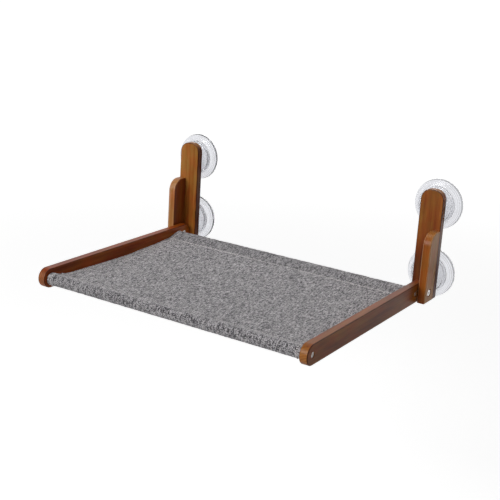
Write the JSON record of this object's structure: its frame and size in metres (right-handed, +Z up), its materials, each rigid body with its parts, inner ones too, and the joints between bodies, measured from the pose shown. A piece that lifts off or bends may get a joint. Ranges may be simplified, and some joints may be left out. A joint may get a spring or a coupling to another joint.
{
  "type": "window mounted cat perch",
  "caption": "Wooden frame with a cloth sling seat that folds up on two brackets, held to a window pane by clear suction cups.",
  "frame": {"origin": "on the window pane's face, in the middle of the four suction cups", "axes": "+X along the pane to the perch's right as seen from the room, +Y into the glass, +Z up"},
  "size_m": [0.542, 0.4047, 0.192],
  "materials": {
    "stained_wood": "walnut stained, satin clear coat",
    "grey_cloth": "woven grey melange",
    "clear_vinyl": "clear soft vinyl, glossy",
    "clear_plastic": "clear rigid plastic, glossy",
    "bright_steel": "zinc plated",
    "brass": "turned"
  },
  "bodies": {
    "window_brackets": {"left_back_plate": "stained_wood", "left_cheek": "stained_wood", "left_cheek_screws": "bright_steel", "left_cup_inserts": "brass", "left_cup_studs": "bright_steel", "left_lower_cap": "clear_plastic", "left_lower_cup": "clear_vinyl", "left_pivot_bolt": "bright_steel", "left_pivot_nut": "bright_steel", "left_pivot_washer": "bright_steel", "left_upper_cap": "clear_plastic", "left_upper_cup": "clear_vinyl", "right_back_plate": "stained_wood", "right_cheek": "stained_wood", "right_cheek_screws": "bright_steel", "right_cup_inserts": "brass", "right_cup_studs": "bright_steel", "right_lower_cap": "clear_plastic", "right_lower_cup": "clear_vinyl", "right_pivot_bolt": "bright_steel", "right_pivot_nut": "bright_steel", "right_pivot_washer": "bright_steel", "right_upper_cap": "clear_plastic", "right_upper_cup": "clear_vinyl"},
    "seat": {"front_rod": "stained_wood", "front_rod_inserts": "brass", "front_rod_screws": "bright_steel", "left_rail": "stained_wood", "rear_rod": "stained_wood", "rear_rod_inserts": "brass", "rear_rod_screws": "bright_steel", "right_rail": "stained_wood", "sling": "grey_cloth"}
  },
  "joints": [
    {"name": "seat_fold", "type": "hinge", "parent": "window_brackets", "child": "seat", "pos_m": [0, -0.04675, -0.07575], "axis": [-1, 0, 0], "range_deg": [0, 90]}
  ]
}
